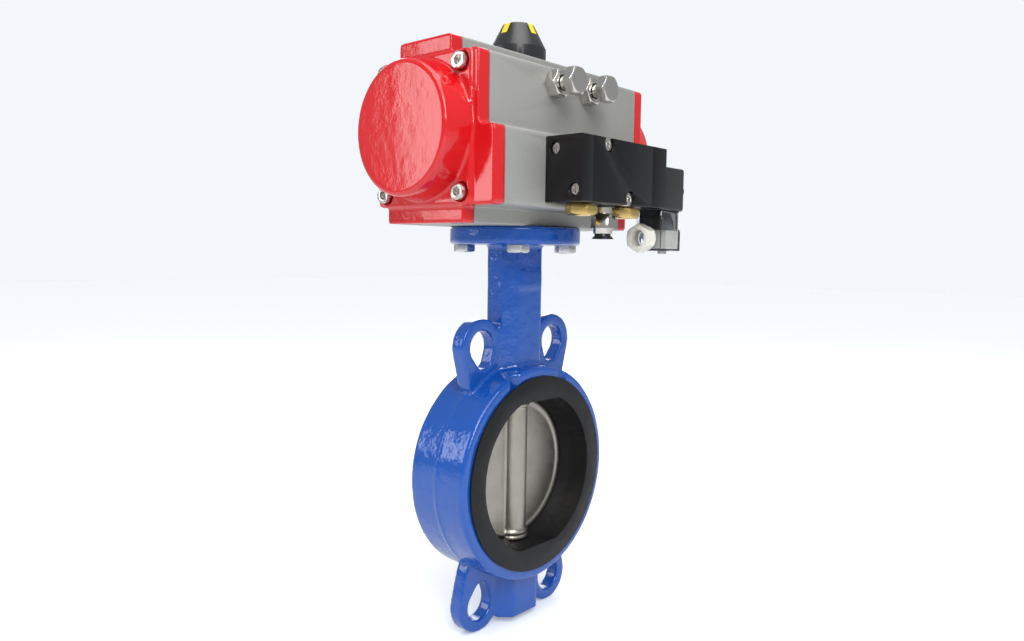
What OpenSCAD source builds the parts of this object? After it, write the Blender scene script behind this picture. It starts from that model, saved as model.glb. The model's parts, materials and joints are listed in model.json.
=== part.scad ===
// Pneumatic actuated butterfly valve: wafer body with rubber seat, rack and pinion
// actuator on a round mounting flange, and a side-mounted 5/2 solenoid valve.
// Millimetres. Origin where the stem axis crosses the pipe axis: +Z up along the stem,
// X along the actuator, Y along the pipe.

/* [Pipe seat] */
// Radius of the rubber seat's opening at the pipe faces
opening_r = 54; // [46:0.5:80]
// Width of the rubber sealing lip on each face
lip_w = 13.2; // [8:0.2:18]
// Width of the painted rim outside the lip
rim_w = 6.8; // [4:0.2:12]
// Length of the valve between the pipe faces, over the rubber
seat_len = 52; // [46:1:70]
// How far each rubber lip stands proud of the casting
lip_proud = 1.5; // [0.8:0.1:3]
// Rubber thickness between the opening and the casting
seat_wall = 5; // [3:0.5:8]
// Height of the sealing crown inside the seat
crown_h = 4.4; // [3:0.1:6]

/* [Disc and stems] */
// Thickness of the disc's plate
disc_plate_t = 6; // [4:0.5:10]
// Thickness of the disc's machined rim
disc_rim_t = 8; // [6:0.5:12]
// Diameter of the disc's hub
hub_d = 21; // [19:0.5:26]
// Diameter of the two sealing beads at each end of the hub
bead_d = 23.5; // [21:0.5:30]
// Diameter of the stems
stem_d = 14; // [12:0.4:16.8]
// Across flats of the stem's drive squares
stem_square = 11; // [9:0.5:11]
// Outer diameter of the stem bushes
bush_d = 20; // [18.5:0.5:22]
// Length of each stem bush
bush_len = 15; // [10:1:20]

/* [Body casting] */
// Height of the actuator flange's top face above the pipe axis
flange_z = 168; // [150:1:220]
// Diameter of the actuator flange
flange_d = 90; // [84:1:100]
// Thickness of the actuator flange
flange_t = 12; // [9:1:16]
// Bolt circle of the actuator flange
flange_pcd = 70; // [70:1:74]
// Width of the neck along the actuator
neck_x = 40; // [32:1:46]
// Width of the neck along the pipe
neck_y = 29; // [27:1:38]
// Corner chamfer of the neck
neck_cut = 7.8; // [3:0.2:8]
// Length of the bottom boss below the ring
boss_len = 29; // [25:1:45]

/* [Centring ears] */
// Distance from the ring's outer edge to the bolt circle that the ears are centred on
ear_out = 21.25; // [19:0.25:46]
// Angle of the ears from the stem
ear_angle = 22.5; // [22:0.1:26]
// Radius of the hole in an ear
ear_hole_r = 11; // [9:0.5:12]
// Width of metal round the hole
ear_rim = 8; // [6:0.5:10]
// Thickness of an ear along the pipe
ear_t = 11; // [8:0.5:16]

/* [Actuator body] */
// Half length of the extruded body between the end caps
body_half = 75.2; // [73:0.1:100]
// Diameter of the cylinder bore
bore_d = 75; // [70:0.5:90]
// Metal between the cylinder bore and the mounting flange
floor_t = 17.9; // [17.5:0.1:24]
// Metal between the cylinder bore and the flat top
roof_t = 17.9; // [17.5:0.1:24]
// Half width of the raised flat on top
top_half = 23; // [22:0.5:30]
// Drop from the raised flat to the shoulders beside it
shoulder_drop = 11; // [8:0.5:12]
// Wall beside the bore on the plain side
back_wall = 5.5; // [5:0.5:10]
// Wall beside the bore above the valve pad
front_wall = 8.1; // [7.5:0.1:12]
// Wall beside the bore at the valve pad
pad_wall = 21; // [20:0.5:28]
// Height of the pad's upper edge
pad_h = 56; // [54:0.5:62]
// Half width of the base
base_half = 34; // [33:0.5:38]
// Height of the base
base_h = 10.3; // [8:0.1:13]

/* [End caps] */
// Thickness of the cap's flange
cap_t = 9.4; // [8:0.2:14]
// Thickness of the screw plate on the cap
plate_t = 1.9; // [1:0.1:4]
// How far the screw plate reaches past the bore on each side
plate_reach = 3.5; // [2:0.5:5]
// Length of a cap over its round bulge
bulge_len = 30.1; // [28:0.1:44]
// How far the foot of the bulge reaches past the bore
bulge_reach = 4.5; // [4:0.5:5]
// How much narrower the bulge is at its front, on each side
bulge_draft = 2; // [1:0.5:3]
// Wall of the bulge
bulge_wall = 5; // [3.5:0.5:6]
// Distance of the cap screws inside the sides of the bore
screw_in_y = 4.1; // [3.5:0.1:5]
// Distance of the cap screws inside the top and bottom of the bore
screw_in_z = 0.1; // [0:0.1:0.8]

/* [Pistons and pinion] */
// Gear module
gear_module = 2; // [2:1:2]
// Number of pinion teeth
pinion_teeth = 16; // [16:1:16]
// Height of the toothed part of the pinion
gear_h = 34; // [28:1:36]
// Play between a rack tooth and a pinion tooth
backlash = 0.2; // [0.1:0.05:0.3]
// Distance from the pinion axis to a piston's inner face, valve closed
piston_start = 30.2; // [29:0.1:32]
// Thickness of a piston head
piston_t = 16; // [14:0.5:16.5]
// Distance from the pinion axis to the end of the opposite piston's rack
rack_reach = 29.8; // [28:0.1:30]
// Wire of the outer return springs
spring_wire = 4; // [3:0.1:4.5]
// Mean diameter of the outer return springs
spring_d = 42; // [38:1:46]

/* [Travel stops] */
// Offset of each stop bolt from the pinion axis
stop_x = 16.9; // [16:0.1:17.5]
// Depth of the stop bolts below the flat top
stop_drop = 21.9; // [21.5:0.1:22.3]
// Thread diameter of the stop bolts
stop_d = 10; // [8:1:10]
// Across flats of the stop bolts and lock nuts
stop_af = 16; // [14:1:17]
// Distance from the side wall to the face of the bolt head
stop_out = 20.8; // [18:0.2:26]

/* [Position indicator] */
// Diameter of the indicator's base
dome_d = 38.4; // [36:0.2:44]
// Diameter of the indicator's top
dome_top_d = 21.4; // [18:0.2:24]
// Height of the indicator
dome_h = 25.3; // [24:0.1:30]
// Height of the indicator's straight base
dome_base_h = 9; // [8:0.5:11]

/* [Solenoid valve] */
// Height of the air port axes above the mounting flange
port_h = 33.4; // [31:0.1:36]
// Distance between the two air ports
port_gap = 24; // [24:1:24]
// Distance between the rows of fixing holes
fixing_gap = 32; // [32:1:32]
// Depth of the valve block away from the actuator
block_y = 28; // [26:0.5:34]
// Height of the valve block
block_h = 39.4; // [39:0.2:44]
// How far the valve block reaches below its air ports
block_below = 19.8; // [19.5:0.1:21]
// Left end of the block and start of the plain cover
block_x0 = -28.7; // [-32:0.1:-27]
// Right end of the block and start of the pilot head
block_x1 = 36.4; // [35:0.1:40]
// Thickness of the plain cover
cover_t = 10.4; // [8:0.1:14]
// Length of the pilot head
pilot_len = 17; // [16:0.5:20]
// Distance between the bottom ports
bottom_gap = 23.5; // [23:0.1:24]
// Offset of the middle bottom port from the air ports' middle
bottom_x = 2; // [1.5:0.1:4]
// Stroke of the spool
spool_stroke = 5; // [3:0.5:5]

/* [Coil and connector] */
// Width of the coil along the pipe
coil_w = 22; // [20:0.5:24]
// Length of the coil
coil_len = 26; // [24:0.5:32]
// Height of the coil
coil_h = 29.2; // [26:0.2:34]
// Length of the connector along the actuator
plug_len = 25; // [23:0.5:27]
// Height of the connector
plug_h = 27.3; // [25:0.1:32]
// Length of the gland nut
gland_len = 10; // [8:0.5:14]
// Hole for the cable in the gland nut
gland_bore = 11.6; // [8:0.2:12]
// Across flats of the gland nut
gland_af = 17; // [16:0.5:19]

/* [Bottom fittings] */
// Across flats of the brass silencers
silencer_af = 17; // [15:0.5:18]
// Height of a silencer's head
silencer_h = 7.5; // [6:0.5:12]
// Across flats of the push-in fitting
fitting_af = 13.5; // [13:0.5:16]
// Diameter of the air tube that the fitting takes
tube_d = 8; // [6:1:8]

/* [Hidden] */

$fn = 72;
// Overshoot of a cutting tool past the face that it cuts
cut = 1;
// Radial clearance of a running fit
run = 0.05;
// Radial clearance of a part that is pressed or screwed in
fit = 0.02;
// Clearance between soft or curved faces that would touch
soft = 0.3;
// Points along each rounded corner of an outline
arc_points = 4;

ring_r = opening_r + lip_w + rim_w;
lip_r = opening_r + lip_w;
casting_len = seat_len - 2 * lip_proud;
seat_bore_r = opening_r + seat_wall;
crown_r = opening_r - crown_h;
disc_r = crown_r - soft;
// How far the flats round the stem holes stand inside the seat's opening
seat_flat = 3.5;
hub_top = opening_r - seat_flat;
hub_end = hub_top - 2 * run;

stem_bore_d = bush_d + 2 * fit;
stem_run_d = stem_d + 2 * run;
// How far the lower bushes start inside the ring's edge, and the upper one ends inside the flange
bush_in = [6, 2];
bush_low_z = ring_r - bush_in[0];
bush_high_z = flange_z - flange_t - bush_len + bush_in[1];
seal_t = 3;
circlip_t = 1.2;
// Gap between the upper stem seal and its circlip
circlip_gap = 0.2;
// How much wider than the bore a circlip's groove is
circlip_bite = 2;
// Length of the stem's square above the flange's top face
square_up = 16;
stem_top = flange_z + square_up;
// Where the upper stem's square starts and ends inside the disc, and the lower stem's top
square_z = [-3, 22];
lower_stem_z = -14;
// Square end of the stem below the flange's top face
square_drop = 2;
boss_end = ring_r + boss_len;
plug_t = 10;
// Gap between the bottom plug and the lower stem
plug_gap = 2;
plug_socket = 8;
plug_socket_deep = 5;
spigot_d = 55;
spigot_h = 2.6;
flange_bolt_d = 8;
flange_bolt_af = 13;
flange_bolt_head = 5.3;
flange_bolt_in = 13;
flange_bolt_gap = 0.8;
spigot_gap = 0.4;

// Where an ear's foot lies: inwards from the ear's centre, and inside the ring's outer edge
ear_foot_in = [2, 6];
// The ear's hole runs on towards the ring as a narrower slot: how far, and how much narrower
ear_slot_in = [1.5, 8];
ear_slot_taper = 4;
ear_foot_taper = 3;
ear_bolt_r = ring_r + ear_out;
ear_at = [ear_bolt_r * sin(ear_angle), ear_bolt_r * cos(ear_angle)];
ear_foot = [ear_at[0] - ear_foot_in[0], ring_r - ear_foot_in[1]];
ear_foot_r = ear_hole_r + ear_rim - ear_foot_taper;
ear_slot = ear_at - ear_slot_in;
ear_slot_r = ear_hole_r - ear_slot_taper;

bore_h = floor_t + bore_d / 2;
top_h = floor_t + bore_d + roof_t;
shoulder_h = top_h - shoulder_drop;
back_half = bore_d / 2 + back_wall;
front_half = bore_d / 2 + front_wall;
pad_half = bore_d / 2 + pad_wall;
stop_h = top_h - stop_drop;
plate_half = bore_d / 2 + plate_reach;
bulge_foot_r = bore_d / 2 + bulge_reach;
bulge_front_r = bulge_foot_r - bulge_draft;
screw_across = bore_d - 2 * screw_in_y;
screw_high = bore_d - 2 * screw_in_z;
// Screws of the end caps: thread, head, socket, and the round relief in the cap above each head
cap_screw_d = 6;
cap_head_d = 10;
cap_socket = 5;
cap_relief_d = 11.4;
cap_thread = 14;
head_sink = 0.6;
// Extra depth of a threaded hole past the end of its screw
hole_spare = 2;
bore_z = flange_z + bore_h;
top_z = flange_z + top_h;
stop_z = flange_z + stop_h;
cap_end = body_half + cap_t;
plate_end = cap_end + plate_t;
bulge_end = body_half + bulge_len;
screw_seat = cap_end - head_sink;

pitch_r = gear_module * pinion_teeth / 2;
tip_r = pitch_r + gear_module;
root_r = pitch_r - 1.25 * gear_module;
pressure_angle = 20;
piston_r = bore_d / 2 - run;
journal_low_d = 28;
journal_high_d = 20;
bearing_wall = 3;
cam_pocket_r = 26;
cam_r = 23.4;
// Gap between the cam's hub and the stop bolts
cam_gap = 0.5;
cam_hub_r = stop_x - stop_d / 2 - cam_gap;
// Reach of the cam and of its pocket below and above the stop bolts' axes
cam_reach = [5.2, 4.8];
pocket_reach = [6.8, 5.6];
cam_z = [stop_h - cam_reach[0], stop_h + cam_reach[1]];
cam_pocket_z = [stop_h - pocket_reach[0], stop_h + pocket_reach[1]];
cam_face = 5;
// Length of the pinion's top end above the flat top
shaft_up = 15;
shaft_top = top_h + shaft_up;

pad_y = -pad_half;
block_front = pad_y - block_y;
port_z = flange_z + port_h;
block_z0 = port_z - block_below;
block_z1 = block_z0 + block_h;
valve_y = pad_y - block_y / 2;
spool_z = port_z;
cover_x0 = block_x0 - cover_t;
pilot_x1 = block_x1 + pilot_len;

coil_gap = 0.6;
// Offset of the coil from the block's middle, away from the actuator
coil_off = 1;
// Height of the coil's top above the air ports
coil_up = 8.6;
coil_y = valve_y - coil_off;
coil_z1 = port_z + coil_up;
coil_z0 = coil_z1 - coil_h;
coil_axis = [coil_y, (coil_z0 + coil_z1) / 2];
coil_x0 = pilot_x1 + coil_gap;
coil_x1 = coil_x0 + coil_len;
// Thickness of the gasket between coil and connector, and how far it stays inside the edges
gasket_t = 1;
gasket_in = 1;
// Height of the cable entry's axis above the connector's lower end
gland_up = 8.3;
plug_z1 = coil_z0 - gasket_t;
plug_z0 = coil_z0 - plug_h;
gland_z = plug_z0 + gland_up;

steel = [0.78, 0.78, 0.76];
cast_blue = [0.10, 0.30, 0.70];
cap_red = [0.85, 0.10, 0.12];
alloy_grey = [0.62, 0.62, 0.60];
rubber_black = [0.06, 0.06, 0.06];
satin_black = [0.13, 0.13, 0.13];
brass_gold = [0.80, 0.62, 0.30];
bush_white = [0.90, 0.88, 0.82];

function unit(v) = v / norm(v);
function turned(v, a) = [v[0] * cos(a) - v[1] * sin(a), v[0] * sin(a) + v[1] * cos(a)];
function xy(p) = [p[0], p[1]];

// Arc that replaces corner q of an outline that runs from p through q to s
function corner_arc(p, q, s) =
    let (
        r = q[2],
        a = unit(xy(p) - xy(q)),
        b = unit(xy(s) - xy(q)),
        half = acos(a * b) / 2,
        centre = xy(q) + unit(a + b) * r / sin(half),
        start = xy(q) + a * r / tan(half) - centre,
        side = a[0] * b[1] - a[1] * b[0] > 0 ? -1 : 1
    )
    r == 0 ? [xy(q)]
    : [for (i = [0:arc_points]) centre + turned(start, side * (180 - 2 * half) * i / arc_points)];

// Outline through corners [x, y, radius], each rounded to its own radius
function outline(corners) =
    let (n = len(corners))
    [for (i = [0:n - 1]) each corner_arc(corners[(i + n - 1) % n], corners[i], corners[(i + 1) % n])];

// Corners of a rounded rectangle
function rectangle(x0, y0, x1, y1, r) = outline([[x0, y0, r], [x1, y0, r], [x1, y1, r], [x0, y1, r]]);

// Four corners of the belt round two circles
function belt(p, rp, q, rq) =
    let (
        d = norm(q - p),
        along = unit(q - p),
        a = acos((rp - rq) / d)
    )
    [p + rp * turned(along, a), p + rp * turned(along, -a),
     q + rq * turned(along, -a), q + rq * turned(along, a)];

// Involute of the pinion's base circle at radius r, as the angle that it has turned
function involute_angle(r, base_r) =
    let (t = sqrt(pow(r / base_r, 2) - 1)) t * 180 / PI - atan(t);

// Outline of pinion tooth number k, from its root on one side to its root on the other
function pinion_tooth(k) =
    let (
        base_r = pitch_r * cos(pressure_angle),
        half_pitch = 90 / pinion_teeth - backlash / 4 / pitch_r * 180 / PI,
        zero = half_pitch + involute_angle(pitch_r, base_r),
        steps = 5,
        radii = [for (i = [0:steps]) base_r + (tip_r - base_r) * i / steps],
        middle = 90 + k * 360 / pinion_teeth
    )
    concat(
        [root_r * [cos(middle - zero), sin(middle - zero)]],
        [for (r = radii) r * [cos(middle - zero + involute_angle(r, base_r)),
                              sin(middle - zero + involute_angle(r, base_r))]],
        [for (i = [steps:-1:0]) let (r = radii[i])
            r * [cos(middle + zero - involute_angle(r, base_r)),
                 sin(middle + zero - involute_angle(r, base_r))]],
        [root_r * [cos(middle + zero), sin(middle + zero)]]
    );

// Outline of a rack tooth space row: teeth point to -Y from the pitch line at +Y
function rack_tooth(x) =
    let (
        addendum = 0.9 * gear_module,
        dedendum = 1.25 * gear_module,
        half = PI * gear_module / 4 - backlash / 4,
        slope = tan(pressure_angle)
    )
    [[x - half - dedendum * slope, pitch_r + dedendum],
     [x - half + addendum * slope, pitch_r - addendum],
     [x + half - addendum * slope, pitch_r - addendum],
     [x + half + dedendum * slope, pitch_r + dedendum]];

module rod(d, z0, z1) translate([0, 0, z0]) cylinder(d = d, h = z1 - z0);

module tube(d_out, d_in, z0, z1) difference() {
    rod(d_out, z0, z1);
    rod(d_in, z0 - cut, z1 + cut);
}

module hex_rod(af, z0, z1) translate([0, 0, z0]) cylinder(d = af / cos(30), h = z1 - z0, $fn = 6);

module square_rod(side, z0, z1) translate([-side / 2, -side / 2, z0]) cube([side, side, z1 - z0]);

module box(low, high) translate(low) cube(high - low);

// Chamfer of a hexagon head, as shares of its width: its height, and the round face that it leaves
head_chamfer = 0.08;
head_face = 0.93;

// Hexagon head with its outer face chamfered, standing on z0
module hex_head(af, z0, z1) intersection() {
    hex_rod(af, z0, z1);
    union() {
        rod(af / cos(30) + cut, z0, z1 - af * head_chamfer);
        translate([0, 0, z1 - af * head_chamfer])
            cylinder(d1 = af / cos(30), d2 = af * head_face, h = af * head_chamfer);
    }
}

// Screw along -Z from its seat at z = 0, with a hexagon socket or a cross slot in its head
module socket_screw(d, length, head_d, head_h, socket_af) difference() {
    union() {
        rod(d, -length, 0);
        rod(head_d, 0, head_h);
    }
    hex_rod(socket_af, head_h / 2, head_h + cut);
}

// Cross slot of a screw, as shares of its head: half its length and width, and the height of its floor
slot_half = [0.32, 0.07];
slot_floor = 0.4;

module cross_screw(d, length, head_d, head_h) difference() {
    union() {
        rod(d, -length, 0);
        rod(head_d, 0, head_h);
    }
    for (a = [0, 90]) rotate([0, 0, a])
        box([-head_d * slot_half[0], -head_d * slot_half[1], head_h * slot_floor],
            [head_d * slot_half[0], head_d * slot_half[1], head_h + cut]);
}

// Sets its children's Z axis along a row axis
module along_x() rotate([0, 90, 0]) children();
module along_minus_x() rotate([0, -90, 0]) children();
module along_y() rotate([-90, 0, 0]) children();
module along_minus_y() rotate([90, 0, 0]) children();

// Extrudes an outline drawn in Y and Z along X
module extrude_x(x0, x1) translate([x0, 0, 0]) rotate([90, 0, 90]) linear_extrude(x1 - x0) children();

// Extrudes an outline drawn in X and Z along Y
module extrude_y(y0, y1) translate([0, y1, 0]) rotate([90, 0, 0]) linear_extrude(y1 - y0) children();

// Copies its children at the four corners of the pitch square of the mounting flange
module at_flange_bolts() for (x = [-1, 1], y = [-1, 1])
    translate([x, y, 0] * flange_pcd / 2 * sin(45)) children();

// ---------------------------------------------------------------- valve

module ear_outline(centre, r, foot, foot_r) {
    translate(centre) circle(r);
    translate(foot) circle(foot_r);
    polygon(belt(centre, r, foot, foot_r));
}

// One centring ear, before the ring's bore is cut
module ear() extrude_y(-ear_t / 2, ear_t / 2) difference() {
    ear_outline(ear_at, ear_hole_r + ear_rim, ear_foot, ear_foot_r);
    ear_outline(ear_at, ear_hole_r, ear_slot, ear_slot_r);
}

function neck_outline() =
    let (x = neck_x / 2, y = neck_y / 2, c = neck_cut)
    [[x, y - c], [x - c, y], [c - x, y], [-x, y - c], [-x, c - y], [c - x, -y], [x - c, -y], [x, c - y]];

// Outer shape of the ring, with its two edges rounded
module ring_blank() along_y() rotate_extrude() polygon(outline([
    [0, -casting_len / 2, 0], [ring_r, -casting_len / 2, 2.5],
    [ring_r, casting_len / 2, 2.5], [0, casting_len / 2, 0]
]));

module valve_body() color(cast_blue) difference() {
    union() {
        ring_blank();
        translate([0, 0, -boss_end])
            linear_extrude(boss_end + flange_z - flange_t / 2) polygon(neck_outline());
        translate([0, 0, flange_z - flange_t]) rotate_extrude() polygon(outline([
            [0, 0, 0], [flange_d / 2, 0, 2], [flange_d / 2, flange_t, 1], [0, flange_t, 0]
        ]));
        for (x = [0, 1], z = [0, 1]) mirror([x, 0, 0]) mirror([0, 0, z]) ear();
    }
    along_y() rod(2 * seat_bore_r, -casting_len, casting_len);
    rod(stem_bore_d, bush_low_z, flange_z + cut);
    rod(stem_run_d, 0, flange_z);
    rod(spigot_d + 2 * fit, flange_z - spigot_h - spigot_gap, flange_z + cut);
    rod(stem_bore_d, -boss_end - cut, -bush_low_z);
    rod(stem_run_d, -boss_end, 0);
    rod(stem_bore_d + circlip_bite, stem_circlip_z(), stem_circlip_z() + circlip_t);
    at_flange_bolts() rod(flange_bolt_d + flange_bolt_gap, 0, flange_z + cut);
}

function stem_circlip_z() = bush_high_z + bush_len + seal_t + circlip_gap;

// How much the seat narrows halfway to its crown, and half the width of the crown
seat_slope = 1;
crown_half = 4;

// Section of the rubber seat: lips on both faces and a crown in the middle
function seat_section() = [
    [seat_bore_r - fit, -casting_len / 2], [lip_r, -casting_len / 2], [lip_r, -seat_len / 2],
    [opening_r, -seat_len / 2], [opening_r - seat_slope, -seat_len / 4],
    [crown_r, -crown_half], [crown_r, crown_half],
    [opening_r - seat_slope, seat_len / 4], [opening_r, seat_len / 2], [lip_r, seat_len / 2],
    [lip_r, casting_len / 2], [seat_bore_r - fit, casting_len / 2]
];

module seat_liner() color(rubber_black) difference() {
    union() {
        along_y() rotate_extrude() polygon(seat_section());
        intersection() {
            along_y() rod(2 * (opening_r + seat_slope), -seat_len / 2, seat_len / 2);
            for (z = [0, 1]) mirror([0, 0, z])
                box([-opening_r, -seat_len / 2, hub_top],
                    [opening_r, seat_len / 2, opening_r + 2 * seat_slope]);
        }
    }
    rod(bead_d + 2 * soft, -hub_top, hub_top);
    rod(stem_run_d, -ring_r, ring_r);
}

// Width of the disc's machined rim
rim_band = 3;
// Width of the slope between the disc's plate and its rim
rim_step = 1;

// Round plate of the disc: a thicker rim with a spherical edge
module disc_plate() along_y() rotate_extrude() intersection() {
    polygon([
        [0, -disc_plate_t / 2], [disc_r - rim_band - rim_step, -disc_plate_t / 2],
        [disc_r - rim_band, -disc_rim_t / 2], [disc_r + cut, -disc_rim_t / 2],
        [disc_r + cut, disc_rim_t / 2], [disc_r - rim_band, disc_rim_t / 2],
        [disc_r - rim_band - rim_step, disc_plate_t / 2], [0, disc_plate_t / 2]
    ]);
    circle(disc_r, $fn = 180);
}

// Where the two beads end, measured in from the hub's end, and the chamfer on the outer one
bead_at = [2.4, 3.8, 6, 6.8];
bead_cut = 0.6;

// Section of the hub with two beads at each end
function hub_section() =
    let (
        h = hub_d / 2,
        b = bead_d / 2,
        c = bead_cut,
        upper = [[h, bead_at[3]], [b, bead_at[2]], [b, bead_at[1] + c], [h, bead_at[1]],
                 [h, bead_at[0] + c], [b, bead_at[0]], [b, c], [b - c, 0], [0, 0]]
    )
    concat(
        [for (i = [len(upper) - 1:-1:0]) [upper[i][0], upper[i][1] - hub_end]],
        [for (p = upper) [p[0], hub_end - p[1]]]
    );

module valve_disc() color(steel) difference() {
    union() {
        disc_plate();
        rotate_extrude() polygon(hub_section());
    }
    rod(stem_d + 2 * fit, square_z[1], hub_top + cut);
    rod(stem_d + 2 * fit, -hub_top - cut, lower_stem_z);
    square_rod(stem_square + 2 * fit, square_z[0] - cut, square_z[1] + cut);
}

module upper_stem() color(steel) {
    rod(stem_d, square_z[1], flange_z - square_drop);
    square_rod(stem_square, square_z[0], square_z[1]);
    intersection() {
        square_rod(stem_square, flange_z - square_drop, stem_top);
        rod(stem_d, flange_z - square_drop, stem_top);
    }
}

module lower_stem() color(steel) rod(stem_d, -boss_end + plug_t + plug_gap, lower_stem_z);

module stem_bushes() color(bush_white) {
    tube(bush_d, stem_run_d, bush_low_z, bush_low_z + bush_len);
    tube(bush_d, stem_run_d, bush_high_z, bush_high_z + bush_len);
    tube(bush_d, stem_run_d, -bush_low_z - bush_len, -bush_low_z);
}

module stem_seals() color(rubber_black) {
    tube(bush_d, stem_run_d, bush_high_z + bush_len, bush_high_z + bush_len + seal_t);
    tube(bush_d, stem_run_d, -bush_low_z - bush_len - seal_t, -bush_low_z - bush_len);
}

module stem_circlip() color(steel)
    translate([0, 0, stem_circlip_z()])
        tube(stem_bore_d + circlip_bite - 2 * fit, stem_d + circlip_bite, fit, circlip_t - fit);

module bottom_plug() color(steel) difference() {
    rod(bush_d, -boss_end, -boss_end + plug_t);
    hex_rod(plug_socket, -boss_end - cut, -boss_end + plug_socket_deep);
}

module flange_bolts() color(steel) at_flange_bolts() {
    rod(flange_bolt_d, flange_z - flange_t, flange_z + flange_bolt_in);
    translate([0, 0, flange_z - flange_t]) mirror([0, 0, 1]) hex_head(flange_bolt_af, 0, flange_bolt_head);
}

// ------------------------------------------------------------- actuator

// Section of the extruded body and of the end caps' flanges
function body_corners() = [
    [-base_half, flange_z, 1.5], [base_half, flange_z, 1.5],
    [base_half, flange_z + base_h, 1], [back_half, flange_z + base_h, 3],
    [back_half, flange_z + shoulder_h, 3], [top_half, flange_z + shoulder_h, 2],
    [top_half, top_z, 2], [-top_half, top_z, 2],
    [-top_half, flange_z + shoulder_h, 2], [-front_half, flange_z + shoulder_h, 3],
    [-front_half, flange_z + pad_h, 4], [-pad_half, flange_z + pad_h, 3],
    [-pad_half, flange_z + base_h, 3], [-base_half, flange_z + base_h, 1]
];

module at_cap_screws() for (y = [-1, 1], z = [-1, 1])
    translate([0, y * screw_across / 2, bore_z + z * screw_high / 2]) children();

module at_stops() for (x = [-1, 1]) translate([x * stop_x, 0, stop_z]) children();

// Air channel in the pad that feeds the chambers behind the pistons
channel_y = -pad_half + 8;
channel_h = 22;
channel_d = 5;
port_bore = 7;
// How far a port's drill runs past the axis of the channel that it meets
port_past = 2;
// Pattern of the accessory holes in the flat top
accessory_gap = [80, 30];
accessory_d = 5;
accessory_deep = 9;
// Screws that hold the solenoid valve
block_screw_d = 5;
block_screw_in = 10;

module actuator_body() color(alloy_grey) difference() {
    union() {
        extrude_x(-body_half, body_half) polygon(outline(body_corners()));
        rod(spigot_d, flange_z - spigot_h, flange_z + cut);
    }
    translate([0, 0, bore_z]) along_x() rod(bore_d, -body_half - cut, body_half + cut);
    rod(journal_low_d + 2 * bearing_wall + 2 * fit, flange_z - spigot_h - cut, bore_z);
    rod(journal_high_d + 2 * bearing_wall + 2 * fit, bore_z, top_z + cut);
    rod(2 * cam_pocket_r, flange_z + cam_pocket_z[0], flange_z + cam_pocket_z[1]);
    at_stops() along_minus_y() rod(stop_d + 2 * fit, 0, front_half + cut);
    at_flange_bolts()
        rod(flange_bolt_d + 2 * fit, flange_z - cut, flange_z + flange_bolt_in + hole_spare);
    for (x = [-1, 1], y = [-1, 1]) translate([x * accessory_gap[0] / 2, y * accessory_gap[1] / 2, top_z])
        rod(accessory_d, -accessory_deep, cut);
    for (side = [0, 1]) mirror([side, 0, 0]) at_cap_screws() translate([body_half, 0, 0])
        along_minus_x() rod(cap_screw_d + 2 * fit, -cut, cap_thread + hole_spare);
    translate([-port_gap / 2, 0, port_z]) along_minus_y() rod(port_bore, bore_d / 3, pad_half + cut);
    translate([port_gap / 2, channel_y, port_z]) along_minus_y() rod(port_bore, -port_past, pad_half);
    translate([port_gap / 2, channel_y, 0]) rod(channel_d, flange_z + channel_h, port_z);
    translate([0, channel_y, flange_z + channel_h]) along_x()
        rod(channel_d, -body_half - cut, body_half + cut);
    for (s = [-1, 1]) translate([s * port_gap / 2, -pad_half, port_z - s * fixing_gap / 2])
        along_y() rod(block_screw_d + 2 * fit, -cut, block_screw_in + hole_spare);
}

// Round groove in the cap's inner face and the ring that fills it
seal_r = bore_d / 2 + 2.4;
cap_seal_w = 2.6;
cap_seal_t = 2;
slot_deep = 3;

// Slot that leads the air from the channel to the chamber, grown by a clearance
module air_slot(gap) box(
    [body_half - cut, channel_y - channel_d / 2, flange_z + channel_h - channel_d / 2 - gap],
    [body_half + slot_deep, -bore_d / 4, flange_z + channel_h + channel_d / 2 + gap]
);

// End cap at +X: flange, screw plate and hollow round bulge
module end_cap() color(cap_red) difference() {
    union() {
        extrude_x(body_half, cap_end) polygon(outline(body_corners()));
        extrude_x(cap_end - cut, plate_end)
            polygon(rectangle(-plate_half, flange_z + base_h, plate_half, flange_z + shoulder_h, 4));
        translate([0, 0, bore_z]) along_x() rotate_extrude() polygon(outline([
            [0, body_half, 0], [bulge_foot_r, body_half, 0], [bulge_foot_r, plate_end, 0],
            [bulge_front_r, bulge_end, 3], [0, bulge_end, 0]
        ]));
    }
    translate([0, 0, bore_z]) along_x() {
        rod(2 * (bulge_front_r - bulge_wall), body_half - cut, bulge_end - bulge_wall);
        tube(2 * seal_r + 2 * cap_seal_w, 2 * seal_r, body_half - cut, body_half + cap_seal_t);
    }
    at_cap_screws() along_x() {
        rod(cap_screw_d + 2 * soft, body_half - cut, screw_seat + cut);
        rod(cap_relief_d, screw_seat, bulge_end + cut);
    }
    air_slot(0);
    translate([0, channel_y, flange_z + channel_h])
        along_x() rod(channel_d, body_half - cut, body_half + slot_deep);
}

module end_cap_right() end_cap();
module end_cap_left() mirror([1, 0, 0]) end_cap();

module cap_seals() color(rubber_black) for (side = [0, 1]) mirror([side, 0, 0]) difference() {
    translate([body_half, 0, bore_z]) along_x()
        tube(2 * (seal_r + cap_seal_w - fit), 2 * (seal_r + fit), 0, cap_seal_t - fit);
    air_slot(fit);
}

module cap_screws() color(steel) for (side = [0, 1]) mirror([side, 0, 0])
    at_cap_screws() translate([screw_seat, 0, 0]) along_x()
        socket_screw(cap_screw_d, screw_seat - body_half + cap_thread, cap_head_d, cap_screw_d, cap_socket);

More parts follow.
